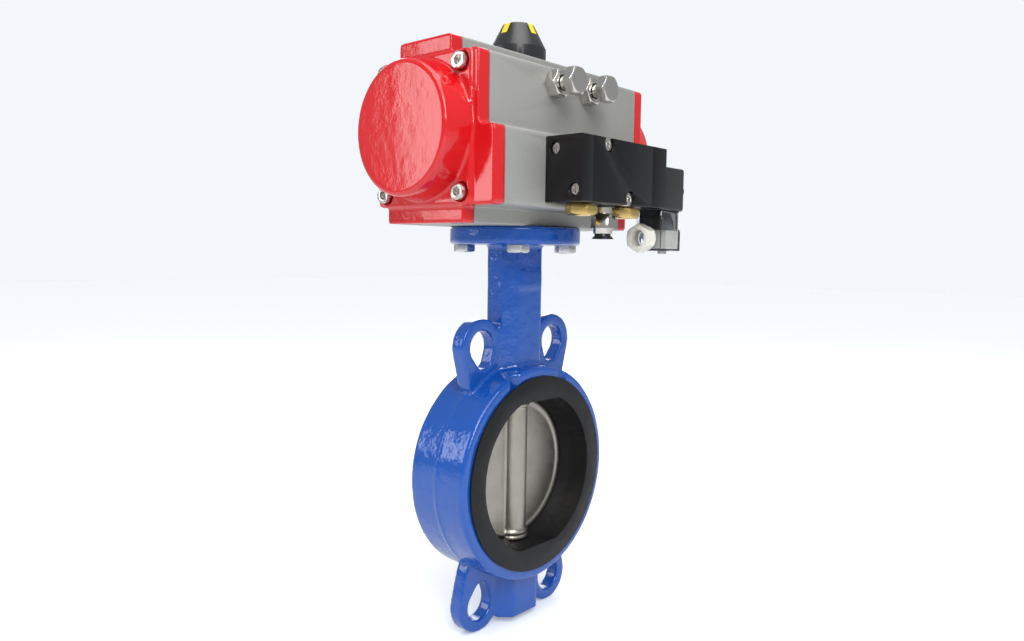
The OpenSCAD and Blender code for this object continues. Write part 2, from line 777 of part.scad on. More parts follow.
// Pinion: journals, teeth, stop cam, and the top end that carries the indicator
module drive_pinion() color(steel) difference() {
    union() {
        rod(journal_low_d, flange_z + pinion_lift, bore_z - gear_h / 2);
        translate([0, 0, bore_z - gear_h / 2]) linear_extrude(gear_h) polygon([
            for (k = [0:pinion_teeth - 1]) each pinion_tooth(k)
        ]);
        rod(journal_low_d, bore_z + gear_h / 2, flange_z + cam_z[0]);
        rod(2 * cam_hub_r, flange_z + cam_z[0], flange_z + cam_z[1]);
        translate([0, 0, flange_z + cam_z[0]]) linear_extrude(cam_z[1] - cam_z[0]) intersection() {
            circle(cam_r);
            translate([-cam_face, -cam_face]) square(2 * cam_r);
        }
        rod(journal_high_d, flange_z + cam_z[1], flange_z + shaft_top);
    }
    square_rod(stem_square + 2 * fit, flange_z, stem_top + hole_spare);
    rod(top_screw_d + 2 * fit, flange_z + shaft_top - top_screw_in, flange_z + shaft_top + cut);
    tube(journal_high_d + cut, journal_high_d - clip_bite, circlip_z(), circlip_z() + circlip_t);
    tube(journal_low_d + cut, journal_low_d - seal_bite, low_seal_z(), low_seal_z() + seal_t);
    tube(journal_high_d + cut, journal_high_d - seal_bite, high_seal_z(), high_seal_z() + seal_t);
}

washer_t = 1.5;
washer_d = 30;
clip_bite = 1.6;
clip_rim = 5;
seal_bite = 4;
pinion_lift = 0.5;
// Screw in the pinion's top end that holds the indicator
top_screw_d = 5;
top_screw_in = 12;
function circlip_z() = top_z + washer_t + 2 * run;
// Lower seal above the mounting flange, upper seal below the flat top
seal_in = [3, 5];
function low_seal_z() = flange_z + seal_in[0];
function high_seal_z() = top_z - seal_in[1];

// How far the lower bearing stays inside the spigot's face and below the cylinder bore
low_bearing_in = [0.6, 2.9];
// Gap between the stop cam and the upper bearing
high_bearing_gap = 0.2;

// Plain bearings of the pinion: one in the floor of the body, one in its roof
module lower_bearing() color(bush_white) {
    tube(journal_low_d + 2 * bearing_wall, journal_low_d + 2 * run,
         flange_z - spigot_h + low_bearing_in[0], flange_z + floor_t - low_bearing_in[1]);
}

module upper_bearing() color(bush_white) {
    tube(journal_high_d + 2 * bearing_wall, journal_high_d + 2 * run,
         flange_z + cam_z[1] + high_bearing_gap, top_z);
}

module pinion_seals() color(rubber_black) {
    translate([0, 0, low_seal_z()])
        tube(journal_low_d, journal_low_d - seal_bite + 2 * fit, fit, seal_t - fit);
    translate([0, 0, high_seal_z()])
        tube(journal_high_d, journal_high_d - seal_bite + 2 * fit, fit, seal_t - fit);
}

module thrust_washer() color(bush_white) tube(washer_d, journal_high_d + 2 * run, top_z, top_z + washer_t);

module pinion_circlip() color(steel) translate([0, 0, circlip_z()])
    tube(journal_high_d + clip_rim, journal_high_d - clip_bite + 2 * fit, fit, circlip_t - fit);

rack_teeth = 10;
rack_half_h = 14;
rack_back = pitch_r + 15;
pad_x = [-12, 20];
pad_depth = 1.5;
groove_x = 4;
groove_w = 3.6;
groove_deep = 3.4;
spring_recess = 8;

// Piston at -X with its rack on the +Y side of the pinion
module piston() difference() {
    union() {
        translate([0, 0, bore_z]) along_minus_x() rod(2 * piston_r, piston_start, piston_start + piston_t);
        intersection() {
            translate([0, 0, bore_z]) along_x() rod(2 * piston_r, -piston_start - cut, rack_reach);
            union() {
                box([-piston_start - cut, pitch_r + 1.25 * gear_module - fit, bore_z - rack_half_h],
                    [rack_reach, rack_back, bore_z + rack_half_h]);
                translate([0, 0, bore_z - rack_half_h]) linear_extrude(2 * rack_half_h)
                    for (k = [-rack_teeth / 2:rack_teeth / 2 - 1])
                        polygon(rack_tooth((k + 0.5) * PI * gear_module));
            }
        }
    }
    translate([0, 0, bore_z]) along_minus_x() {
        translate([0, 0, piston_start + piston_t]) rod(spring_d + 2 * spring_wire, -spring_recess, cut);
        translate([0, 0, piston_start + groove_x])
            tube(2 * piston_r + cut, 2 * (piston_r - groove_deep), 0, groove_w);
    }
    box([pad_x[0], rack_back - pad_depth, bore_z - rack_half_h - cut],
        [pad_x[1], rack_back + cut, bore_z + rack_half_h + cut]);
}

// Turns its children half a turn about the stem axis, for the right piston
module other_side() rotate([0, 0, 180]) children();

module piston_left() color(alloy_grey) piston();
module piston_right() color(alloy_grey) other_side() piston();

module piston_seal() translate([-piston_start - groove_x, 0, bore_z]) along_minus_x()
    tube(2 * piston_r, 2 * (piston_r - groove_deep + fit), fit, groove_w - fit);

module piston_seal_left() color(rubber_black) piston_seal();
module piston_seal_right() color(rubber_black) other_side() piston_seal();

// Sliding pad between the back of the rack and the bore
module guide_pad() intersection() {
    translate([0, 0, bore_z]) along_x() rod(2 * piston_r, pad_x[0], pad_x[1]);
    box([pad_x[0] + fit, rack_back - pad_depth + fit, bore_z - rack_half_h],
        [pad_x[1] - fit, bore_d, bore_z + rack_half_h]);
}

module guide_pad_left() color(bush_white) guide_pad();
module guide_pad_right() color(bush_white) other_side() guide_pad();

// Gap between a spring's end and what it stands on
spring_gap = 0.1;
spring_start = piston_start + piston_t - spring_recess + spring_gap;
spring_end = bulge_end - bulge_wall - spring_gap;

// Coil spring along -X between the piston and the cap: rings of points joined into one tube
module coil_spring(mean_d, wire, turns) {
    sides = 8;
    steps = 14 * turns;
    length = spring_end - spring_start - wire;
    points = [for (i = [0:steps]) let (
            a = 360 * turns * i / steps,
            x = -spring_start - wire / 2 - length * i / steps
        )
        each [for (k = [0:sides - 1]) let (b = 360 * k / sides, r = mean_d / 2 + wire / 2 * cos(b))
            [x + wire / 2 * sin(b), r * cos(a), bore_z + r * sin(a)]]];
    sheath = [for (i = [0:steps - 1], k = [0:sides - 1]) let (n = (k + 1) % sides)
        [i * sides + k, i * sides + n, (i + 1) * sides + n, (i + 1) * sides + k]];
    polyhedron(points, concat([[for (k = [sides - 1:-1:0]) k]], sheath,
        [[for (k = [0:sides - 1]) steps * sides + k]]));
}

inner_spring_d = spring_d - 2 * spring_wire - 5;
module outer_spring_left() color(steel) coil_spring(spring_d, spring_wire, 6);
module outer_spring_right() color(steel) other_side() coil_spring(spring_d, spring_wire, 6);
module inner_spring_left() color(steel) coil_spring(inner_spring_d, spring_wire - 1, 7);
module inner_spring_right() color(steel) other_side() coil_spring(inner_spring_d, spring_wire - 1, 7);

stop_head = 6.4;
nut_t = 8;

module stop_bolts() color(steel) at_stops() along_minus_y() {
    rod(stop_d, cam_face + run, front_half + stop_out - stop_head);
    hex_head(stop_af, front_half + stop_out - stop_head, front_half + stop_out);
}

module lock_nuts() color(steel) at_stops() along_minus_y() difference() {
    hex_head(stop_af, front_half, front_half + nut_t);
    rod(stop_d + 2 * fit, front_half - cut, front_half + nut_t + cut);
}

// ------------------------------------------------------------ indicator

dome_gap = 0.4;
dome_wall = 3;
mark_w = 5;
mark_t = 0.8;
mark_foot = 18;
mark_hole = 13;
dome_sink = 5;
// How far the marks lie below the indicator's surface
mark_sink = 0.1;
top_head_h = 3.4;
screw_sink = 5;

module dome_shell() rotate_extrude() polygon(outline([
    [0, top_z + dome_gap, 0], [dome_d / 2, top_z + dome_gap, 1], [dome_d / 2, top_z + dome_base_h, 0.6],
    [dome_top_d / 2, top_z + dome_h, 2], [0, top_z + dome_h, 0]
]));

// The four sunk places for the coloured marks, in a cross on the crown
module mark_places() for (a = [0, 90]) rotate([0, 0, a])
    box([-dome_d, -mark_w / 2, top_z + mark_foot], [dome_d, mark_w / 2, top_z + dome_h + cut]);

module indicator_dome() color(satin_black) difference() {
    dome_shell();
    rod(dome_d - 2 * dome_wall, top_z, top_z + dome_sink);
    rod(journal_high_d + 2 * fit, top_z, flange_z + shaft_top + fit);
    rod(top_screw_d + soft, top_z, top_z + dome_h + cut);
    rod(2 * top_screw_d + 2 * fit, top_z + dome_h - screw_sink, top_z + dome_h + cut);
    difference() {
        mark_places();
        translate([0, 0, -mark_t]) dome_shell();
        rod(mark_hole, top_z, top_z + dome_h + 2 * cut);
    }
}

module indicator_marks() color([0.95, 0.80, 0.05]) intersection() {
    translate([0, 0, -mark_sink]) dome_shell();
    difference() {
        mark_places();
        translate([0, 0, fit - mark_t]) dome_shell();
        rod(mark_hole + 2 * fit, top_z, top_z + dome_h + 2 * cut);
    }
}

module indicator_screw() color(steel) translate([0, 0, top_z + dome_h - screw_sink])
    cross_screw(top_screw_d, 3 * top_screw_d, 2 * top_screw_d, top_head_h);

// ------------------------------------------------------- solenoid valve

function block_outline() = rectangle(block_front, block_z0, pad_y, block_z1, 0.8);

module at_bottom_ports(numbers) for (i = numbers)
    translate([bottom_x + i * bottom_gap, valve_y, block_z0]) children();

module at_block_screws() for (s = [-1, 1])
    translate([s * port_gap / 2, block_front, port_z - s * fixing_gap / 2]) children();

// Distance of the cover screws from the block's side and end edges
cover_screw_in = [6.5, 7.2];

// Two screws per end, on one diagonal
module at_cover_screws() {
    translate([0, valve_y + block_y / 2 - cover_screw_in[0], block_z1 - cover_screw_in[1]]) children();
    translate([0, valve_y - block_y / 2 + cover_screw_in[0], block_z0 + cover_screw_in[1]]) children();
}

spool_bore = 15;
spool_d = 10;
port_thread = 12.4;
port_deep = 4.8;
screw_head_d = 8.4;
seal_ring_d = 15;
seal_ring_w = 2.3;
seal_ring_t = 1.6;
air_hole = 6;
// Depth of the pockets that the heads of the fixing and cover screws stand in
block_pocket = 6.5;
block_pocket_d = 10.2;
cover_pocket = 4.5;
cover_pocket_d = 8;
cover_screw_d = 4;
cover_head_d = 6.6;
cover_head_h = 2.6;
// How far the cover screws reach into the valve block
cover_bite = 8;
// Depth of the holes for those screws past the screws' ends
bite_spare = 1;
// Wall left at the blind end of the spool's bore, and the depth of the bore in the pilot head
blind = 3;
pilot_bore_deep = 4;

module valve_block() color(satin_black) difference() {
    extrude_x(block_x0, block_x1) polygon(block_outline());
    translate([0, valve_y, spool_z]) along_x() rod(spool_bore, block_x0 - cut, block_x1 + cut);
    at_bottom_ports([-1, 0, 1]) {
        rod(port_thread + 2 * fit, -cut, port_deep);
        rod(air_hole, 0, spool_z - block_z0);
    }
    for (s = [-1, 1]) translate([s * port_gap / 2, pad_y, port_z]) along_minus_y() {
        rod(air_hole, -cut, block_y / 2);
        tube(seal_ring_d, seal_ring_d - 2 * seal_ring_w, -cut, seal_ring_t);
    }
    at_block_screws() along_y() {
        rod(block_screw_d + soft, -cut, block_y + cut);
        rod(block_pocket_d, -cut, block_pocket);
    }
    at_cover_screws() along_x() {
        rod(cover_screw_d + 2 * fit, block_x0 - cut, block_x0 + cover_bite + bite_spare);
        rod(cover_screw_d + 2 * fit, block_x1 - cover_bite - bite_spare, block_x1 + cut);
    }
}

module plain_cover() color(satin_black) difference() {
    extrude_x(cover_x0, block_x0) polygon(block_outline());
    translate([block_x0, valve_y, spool_z]) along_minus_x() rod(spool_bore - blind, -cut, cover_t - blind);
    translate([cover_x0, 0, 0]) at_cover_screws() along_x() {
        rod(cover_screw_d + soft, -cut, cover_t + cut);
        rod(cover_pocket_d, -cut, cover_pocket);
    }
}

// Pilot head: carries the core tube on its end face and the override button on top
button_x = block_x1 + pilot_len / 2;
button_d = 5;
button_deep = 7;
core_d = 9;
core_in = 5;

module pilot_head() color(satin_black) difference() {
    extrude_x(block_x1, pilot_x1) polygon(block_outline());
    translate([block_x1, valve_y, spool_z]) along_x() rod(spool_bore - blind, -cut, pilot_bore_deep);
    translate([button_x, valve_y, 0]) rod(button_d + 2 * run, block_z1 - button_deep, block_z1 + cut);
    translate([pilot_x1, coil_axis[0], coil_axis[1]]) along_minus_x()
        rod(core_d + 2 * fit, -cut, core_in + cut);
    translate([block_x1, 0, 0]) at_cover_screws() along_x() {
        rod(cover_screw_d + soft, -cut, pilot_len + cut);
        rod(cover_pocket_d, pilot_len - cover_pocket, pilot_len + cut);
    }
}

module cover_screws() color(steel) {
    translate([cover_x0 + cover_pocket, 0, 0]) at_cover_screws() along_minus_x()
        cross_screw(cover_screw_d, cover_t - cover_pocket + cover_bite, cover_head_d, cover_head_h);
    translate([pilot_x1 - cover_pocket, 0, 0]) at_cover_screws() along_x()
        cross_screw(cover_screw_d, pilot_len - cover_pocket + cover_bite, cover_head_d, cover_head_h);
}

module block_screws() color(steel) translate([0, block_pocket, 0]) at_block_screws() along_minus_y()
    socket_screw(block_screw_d, block_y - block_pocket + block_screw_in, screw_head_d, block_screw_d, 4);

module port_seals() color(rubber_black)
    for (s = [-1, 1]) translate([s * port_gap / 2, pad_y, port_z]) along_minus_y()
        tube(seal_ring_d - 2 * fit, seal_ring_d - 2 * seal_ring_w + 2 * fit, 0, seal_ring_t - fit);

// Spool with three lands between sealing rings; closed, it stands at its +X end
spool_past = [1, 3];
spool_x = [block_x0 + spool_stroke + spool_past[0], block_x1 + spool_past[1]];
land_pitch = 18;
land_half = 4;
ring_half = 1.3;

module spool() color(alloy_grey) translate([0, valve_y, spool_z]) along_x() {
    rod(spool_d / 2, spool_x[0], spool_x[1]);
    for (i = [-1:1]) let (x = bottom_x + i * land_pitch + spool_stroke / 2)
        rod(spool_d, x - land_half, x + land_half);
}

module spool_seals() color(rubber_black) translate([0, valve_y, spool_z]) along_x()
    for (i = [-1.5:1:1.5]) let (x = bottom_x + i * land_pitch)
        tube(spool_bore - 2 * fit, spool_d + 2 * run, x - ring_half, x + ring_half);

// Return spring of the spool, between the plain cover and the spool's end
module spool_spring() color(steel) {
    sides = 6;
    turns = 5;
    steps = 12 * turns;
    wire = 1;
    radius = 2.2;
    x0 = cover_x0 + blind + spring_gap + wire / 2;
    length = spool_x[0] - spring_gap - wire / 2 - x0;
    points = [for (i = [0:steps]) let (a = 360 * turns * i / steps, x = x0 + length * i / steps)
        each [for (k = [0:sides - 1]) let (b = 360 * k / sides, r = radius + wire / 2 * cos(b))
            [x + wire / 2 * sin(b), valve_y + r * cos(a), spool_z + r * sin(a)]]];
    sheath = [for (i = [0:steps - 1], k = [0:sides - 1]) let (n = (k + 1) % sides)
        [i * sides + n, i * sides + k, (i + 1) * sides + k, (i + 1) * sides + n]];
    polyhedron(points, concat([[for (k = [0:sides - 1]) k]], sheath,
        [[for (k = [sides - 1:-1:0]) steps * sides + k]]));
}

button_stroke = 1.5;
// Length of the button in its hole, and half the width and the depth of its screwdriver slot
button_in = 5;
button_slot = [0.5, 0.8];

module override_button() color([0.85, 0.45, 0.10]) translate([button_x, valve_y, 0]) difference() {
    rod(button_d, block_z1 - button_in, block_z1 + button_stroke);
    box([-button_d, -button_slot[0], block_z1 + button_stroke - button_slot[1]],
        [button_d, button_slot[0], block_z1 + button_stroke + cut]);
}

// Core tube that the coil slides over, with the armature inside
armature_d = 6;
armature_stroke = 1.5;
core_stop = 8;
nut_depth = 6;
// Gap between the armature's rear end and the core tube's
armature_gap = 0.5;

module core_tube() color(steel) translate([0, coil_axis[0], coil_axis[1]]) along_x() difference() {
    rod(core_d, pilot_x1 - core_in, coil_x1 + nut_depth);
    rod(armature_d + 2 * run, pilot_x1 - core_in - cut, coil_x1 - core_stop);
}

module armature() color(steel) translate([0, coil_axis[0], coil_axis[1]]) along_x()
    rod(armature_d, pilot_x1 - core_in + armature_gap, coil_x1 - core_stop - armature_stroke);

module coil() color(satin_black) difference() {
    extrude_x(coil_x0, coil_x1)
        polygon(rectangle(coil_y - coil_w / 2, coil_z0, coil_y + coil_w / 2, coil_z1, 2));
    translate([0, coil_axis[0], coil_axis[1]]) along_x()
        rod(core_d + 2 * fit, coil_x0 - cut, coil_x1 + cut);
    translate(plug_screw) rod(plug_screw_d + 2 * fit, coil_z0 - cut, coil_z0 + plug_screw_in + 1);
}

coil_nut_af = 14;
coil_nut_t = 4;
// Round end of the coil nut
coil_nut_end_d = 12.6;
coil_nut_end = 9;

module coil_nut() color(satin_black)
    translate([coil_x1, coil_axis[0], coil_axis[1]]) along_x() difference() {
        union() {
            hex_rod(coil_nut_af, 0, coil_nut_t);
            rod(coil_nut_end_d, coil_nut_t, coil_nut_end);
        }
        rod(core_d + 2 * fit, -cut, nut_depth + fit);
    }

plug_x0 = coil_x0;
plug_x1 = plug_x0 + plug_len;
plug_y = [coil_y - coil_w / 2 + 1, coil_y + coil_w / 2 - 1];

plug_wall = 1.6;
plug_seam_z = plug_z0 + 14;
plug_screw = [plug_x1 - 7, coil_y];
plug_screw_d = 3;
plug_screw_in = 4;
entry_len = 4;
entry_wall = 1.7;
// How much the cable's way narrows past the gland nut, on each side
entry_lip = 1;
gland_rim = 2;
terminal_gap = 8;
slide = 0.1;

// Box inside the hood's walls, drawn in by a clearance, with the hole for the screw
module plug_insert(x0, z0, z1, gap) difference() {
    box([x0 + gap, plug_y[0] + plug_wall + gap, z0],
        [plug_x1 - plug_wall - gap, plug_y[1] - plug_wall - gap, z1]);
    translate(plug_screw) rod(plug_screw_d + 2 * fit, z0 - cut, z1 + cut);
}

module connector_gasket() color(rubber_black) difference() {
    box([plug_x0 + gasket_in, plug_y[0] + gasket_in, plug_z1],
        [plug_x1 - gasket_in, plug_y[1] - gasket_in, coil_z0]);
    translate(plug_screw) rod(plug_screw_d + 2 * fit, plug_z1 - cut, coil_z0 + cut);
}

// Clear housing of the connector, with the cable entry on its -X side
module connector_hood() color([0.85, 0.87, 0.88, 0.5]) difference() {
    union() {
        box([plug_x0, plug_y[0], plug_z0], [plug_x1, plug_y[1], plug_z1]);
        translate([plug_x0, coil_y, gland_z]) along_minus_x()
            rod(gland_bore + 2 * entry_wall, -plug_wall / 2, entry_len);
    }
    box([plug_x0 + plug_wall, plug_y[0] + plug_wall, plug_z0 + plug_wall],
        [plug_x1 - plug_wall, plug_y[1] - plug_wall, plug_z1 + cut]);
    translate([plug_x0, coil_y, gland_z]) along_minus_x()
        rod(gland_bore - 2 * entry_lip, -plug_wall - cut, entry_len + cut);
    translate(plug_screw) rod(plug_screw_d + 2 * fit, plug_z0 - cut, plug_z0 + plug_wall + cut);
}

// Black contact carrier in the upper half of the housing
module contact_carrier() color(satin_black) plug_insert(plug_x0 + plug_wall, plug_seam_z, plug_z1, slide);

// Pale terminal block in the lower half, clear of the cable entry
module terminal_block() color(bush_white)
    plug_insert(plug_x0 + terminal_gap, plug_z0 + plug_wall, plug_seam_z, slide);

module connector_screw() color(steel) translate([plug_screw[0], plug_screw[1], plug_z0]) mirror([0, 0, 1])
    cross_screw(plug_screw_d, coil_z0 - plug_z0 + plug_screw_in, 2 * plug_screw_d, 2);

module gland_nut() color([0.90, 0.89, 0.85])
    translate([plug_x0 - entry_len, coil_y, gland_z]) along_minus_x() difference() {
        union() {
            rod(gland_af, 0, gland_rim);
            hex_head(gland_af, gland_rim, gland_len);
        }
        rod(gland_bore, -cut, gland_len + cut);
    }

// Gap between a bottom port's thread and its end, and between the block and a silencer's hexagon
thread_gap = 1;
hex_gap = 0.8;
silencer_bore = 7;
silencer_neck = 2;

module silencers() color(brass_gold) at_bottom_ports([-1, 1]) difference() {
    union() {
        rod(port_thread, -silencer_neck, port_deep - thread_gap);
        mirror([0, 0, 1]) hex_head(silencer_af, hex_gap, silencer_h);
    }
    rod(silencer_bore, -silencer_h - cut, port_deep - thread_gap - silencer_neck);
}

fitting_hex_z = [-14.6, -6.2];
fitting_neck_d = 12;
neck_len = 3.4;
// Where the tube's seat lies below the block, and the air way above it
fitting_seat = 4;
fitting_bore = 5;
collar_out = 21.4;
// Top of the collar below the block, height of its flared end, and what the end adds to its neck
collar_top = 11;
collar_flare_h = 1.8;
collar_flare = [2, -0.6];
collar_wall = 1.2;
// Room round the air tube in the collar
tube_room = 0.2;

module fitting_body() color([0.80, 0.78, 0.74]) at_bottom_ports([0]) difference() {
    union() {
        rod(port_thread, fitting_hex_z[1] - cut / 2, port_deep - thread_gap);
        hex_rod(fitting_af, fitting_hex_z[0], fitting_hex_z[1]);
        rod(fitting_neck_d, fitting_hex_z[0] - neck_len, fitting_hex_z[0]);
    }
    rod(tube_d + 2 * collar_wall, fitting_hex_z[0] - neck_len - cut, -fitting_seat);
    rod(fitting_bore, -fitting_seat - cut, port_deep);
}

// Release collar of the fitting: pushed up to free the air tube
module release_collar() color(satin_black) at_bottom_ports([0]) difference() {
    union() {
        rod(tube_d + 2 * collar_wall - 2 * run, collar_flare_h / 2 - collar_out, -collar_top);
        translate([0, 0, -collar_out])
            cylinder(d1 = fitting_neck_d + collar_flare[0], d2 = fitting_neck_d + collar_flare[1],
                     h = collar_flare_h);
    }
    rod(tube_d + tube_room, -collar_out - cut, cut - collar_top);
}

valve_body();
seat_liner();
valve_disc();
upper_stem();
lower_stem();
stem_bushes();
stem_seals();
stem_circlip();
bottom_plug();
flange_bolts();
actuator_body();
end_cap_left();
end_cap_right();
cap_seals();
cap_screws();
drive_pinion();
lower_bearing();
upper_bearing();
pinion_seals();
thrust_washer();
pinion_circlip();
piston_left();
piston_right();
piston_seal_left();
piston_seal_right();
guide_pad_left();
guide_pad_right();
outer_spring_left();
outer_spring_right();
inner_spring_left();
inner_spring_right();
stop_bolts();
lock_nuts();
indicator_dome();
indicator_marks();
indicator_screw();
valve_block();
plain_cover();
pilot_head();
cover_screws();
block_screws();
port_seals();
spool();
spool_seals();
spool_spring();
override_button();
core_tube();
armature();
coil();
coil_nut();
connector_gasket();
connector_hood();
contact_carrier();
terminal_block();
connector_screw();
gland_nut();
silencers();
fitting_body();
release_collar();
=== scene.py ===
import json
import math

import bpy
from mathutils import Matrix, Vector


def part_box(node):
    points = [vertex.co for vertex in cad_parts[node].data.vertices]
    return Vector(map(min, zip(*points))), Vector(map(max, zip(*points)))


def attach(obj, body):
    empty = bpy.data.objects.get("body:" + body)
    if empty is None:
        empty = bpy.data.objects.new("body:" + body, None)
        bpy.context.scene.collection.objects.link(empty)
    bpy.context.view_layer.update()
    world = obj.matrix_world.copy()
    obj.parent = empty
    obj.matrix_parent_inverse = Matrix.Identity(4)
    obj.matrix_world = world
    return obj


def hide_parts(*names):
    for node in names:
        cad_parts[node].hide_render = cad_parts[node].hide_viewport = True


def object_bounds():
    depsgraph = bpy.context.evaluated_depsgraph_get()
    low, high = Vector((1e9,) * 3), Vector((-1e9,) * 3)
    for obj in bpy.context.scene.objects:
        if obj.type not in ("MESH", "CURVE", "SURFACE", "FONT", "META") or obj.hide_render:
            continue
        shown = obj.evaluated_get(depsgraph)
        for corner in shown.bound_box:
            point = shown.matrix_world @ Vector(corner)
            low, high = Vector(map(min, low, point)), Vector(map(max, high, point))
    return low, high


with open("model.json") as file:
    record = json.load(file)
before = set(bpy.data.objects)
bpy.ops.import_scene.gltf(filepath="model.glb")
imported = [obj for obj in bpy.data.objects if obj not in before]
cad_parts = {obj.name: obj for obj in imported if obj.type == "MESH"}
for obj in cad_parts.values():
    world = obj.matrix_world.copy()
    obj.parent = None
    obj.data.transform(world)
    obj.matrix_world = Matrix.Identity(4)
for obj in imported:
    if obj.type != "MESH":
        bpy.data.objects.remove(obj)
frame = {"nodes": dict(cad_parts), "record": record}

bl_info = {
    "name": "Actuated Butterfly Valve",
    "version": (1, 0, 0),
    "blender": (4, 5, 0),
    "location": "View3D > Sidebar > Valve",
    "description": "Finishes and detailed pieces for an air-actuated wafer butterfly valve",
    "category": "Object",
}

MM = 0.001
RECORD = frame["record"]
BODY_OF = {node: body for body, nodes in RECORD["behaviour"]["bodies"].items() for node in nodes}
SLOT_OF = {row["node"]: row["material_slot"] for row in RECORD["subparts"]}
CAD_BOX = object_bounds()
# All below in millimetres. Painted rim outside the rubber lip; half depth of the neck; middle and
# size of its bare field
RIM = 6.8
NECK_Y = 14.5
FIELD_Z = 133
FIELD_SIZE = (23, 12.5)
# Push-in fitting: top of its hexagon below the block, radius of its thread and of its air way, pitch
# and depth of the thread, and how far the thread reaches into the hexagon
FITTING_HEX = 6.2
FITTING_THREAD = 6.2
FITTING_BORE = 2.5
FITTING_PITCH = 1.3
FITTING_DEPTH = 0.6
FITTING_OVERLAP = 0.1
# Offset of the travel stops from the stem, and the radius of their thread
STOP_X = 16.9
STOP_THREAD = 5
# Widths of broken edges: on the seat's lips, the dome, turned pieces and the fitting
SEAT_EDGE = 0.7
DOME_EDGE = 0.3
TURNED_EDGE = 0.2
FITTING_EDGE = 0.25
# Spacing of the lumps in the enamel
LUMP_SPACING = 14
# In degrees: sharpest corner that stays unbroken, on the seat, on turned and on machined pieces
SEAT_CORNER = 20
TURNED_CORNER = 28
MACHINED_CORNER = 40
# Sides of a threaded rod, and steps round the barrel's ridge
THREAD_SIDES = 40
RIDGE_STEPS = 160
# In metres: side of the floor. Light that the camera alone sees it give off
FLOOR_SIZE = 12
FLOOR_LIFT = 0.28


# ------------------------------------------------------------------ settings

class ValveCasting(bpy.types.PropertyGroup):
    """Sizes and colours of the cast and painted pieces."""

    blue: bpy.props.FloatVectorProperty(
        name="Casting enamel", description="Colour of the enamel on the valve body",
        default=(0.005, 0.082, 0.41), subtype="COLOR", min=0, max=1)
    red: bpy.props.FloatVectorProperty(
        name="Cap enamel", description="Colour of the enamel on the end caps",
        default=(0.66, 0.007, 0.011), subtype="COLOR", min=0, max=1)
    body_grain: bpy.props.FloatProperty(
        name="Body grid", description="Grid on which the casting's blends are formed",
        default=1.15 * MM, subtype="DISTANCE", unit="LENGTH")
    cap_grain: bpy.props.FloatProperty(
        name="Cap grid", description="Grid on which the end caps' blends are formed",
        default=0.85 * MM, subtype="DISTANCE", unit="LENGTH")
    disc_grain: bpy.props.FloatProperty(
        name="Disc grid", description="Grid on which the disc's fillets are formed",
        default=0.75 * MM, subtype="DISTANCE", unit="LENGTH")
    lumps: bpy.props.FloatProperty(
        name="Paint lumps", description="Depth of the hollows between the lumps in the thick enamel",
        default=0.35 * MM, subtype="DISTANCE", unit="LENGTH")
    cap_lumps: bpy.props.FloatProperty(
        name="Cap unevenness", description="Depth of the slow lumps in the end caps",
        default=0.05 * MM, subtype="DISTANCE", unit="LENGTH")
    parting: bpy.props.FloatProperty(
        name="Parting ridge", description="Height of the ridge that the mould leaves round the barrel",
        default=0.7 * MM, subtype="DISTANCE", unit="LENGTH")
    field: bpy.props.FloatProperty(
        name="Neck field", description="Height of the bare raised field on the neck",
        default=0.9 * MM, subtype="DISTANCE", unit="LENGTH")


class ValveHardware(bpy.types.PropertyGroup):
    """Sizes and colours of the machined, moulded and turned pieces."""

    grey: bpy.props.FloatVectorProperty(
        name="Body anodising", description="Colour of the blasted and anodised cylinder body",
        default=(0.37, 0.37, 0.345), subtype="COLOR", min=0, max=1)
    black: bpy.props.FloatVectorProperty(
        name="Block anodising", description="Colour of the solenoid valve's block",
        default=(0.012, 0.012, 0.013), subtype="COLOR", min=0, max=1)
    edge: bpy.props.FloatProperty(
        name="Edge break", description="Width of the broken edges of machined pieces",
        default=0.35 * MM, subtype="DISTANCE", unit="LENGTH")
    thread_pitch: bpy.props.FloatProperty(
        name="Stop thread pitch", description="Pitch of the thread on the travel stops",
        default=1.5 * MM, subtype="DISTANCE", unit="LENGTH")
    thread_depth: bpy.props.FloatProperty(
        name="Thread depth", description="Depth of the threads",
        default=0.75 * MM, subtype="DISTANCE", unit="LENGTH")
    stop_head: bpy.props.FloatProperty(
        name="Stop bolt head", description="Height of the heads of the travel stops",
        default=6.4 * MM, subtype="DISTANCE", unit="LENGTH")


class ValveStage(bpy.types.PropertyGroup):
    """Camera, floor and lamps."""

    lens: bpy.props.FloatProperty(
        name="Lens", description="Focal length of the camera, in millimetres",
        default=28.49, min=10, max=200)
    heading: bpy.props.FloatProperty(
        name="Heading", description="Direction that the camera looks in, from +X towards +Y",
        default=math.radians(41.7), subtype="ANGLE", unit="ROTATION")
    tilt: bpy.props.FloatProperty(
        name="Tilt", description="How far the camera looks down",
        default=math.radians(4.8), subtype="ANGLE", unit="ROTATION")
    roll: bpy.props.FloatProperty(
        name="Roll", description="How far the camera leans",
        default=math.radians(0.8), subtype="ANGLE", unit="ROTATION")
    eye: bpy.props.FloatVectorProperty(
        name="Eye", description="Place of the camera",
        default=(-0.4221, -0.3743, 0.151), subtype="TRANSLATION", unit="LENGTH")


# ------------------------------------------------------------- small helpers

def settings():
    scene = bpy.context.scene
    return scene.valve_casting, scene.valve_hardware, scene.valve_stage


def only(piece):
    """Selects one piece and makes it active."""
    bpy.ops.object.select_all(action="DESELECT")
    piece.hide_viewport = False
    piece.select_set(True)
    bpy.context.view_layer.objects.active = piece


def edit_all(piece, *steps):
    """Runs edit-mode steps with every face of the piece selected."""
    only(piece)
    bpy.ops.object.mode_set(mode="EDIT")
    bpy.ops.mesh.select_all(action="SELECT")
    for step in steps:
        step()
    bpy.ops.object.mode_set(mode="OBJECT")


def merge():
    bpy.ops.mesh.remove_doubles(threshold=0.002 * MM)


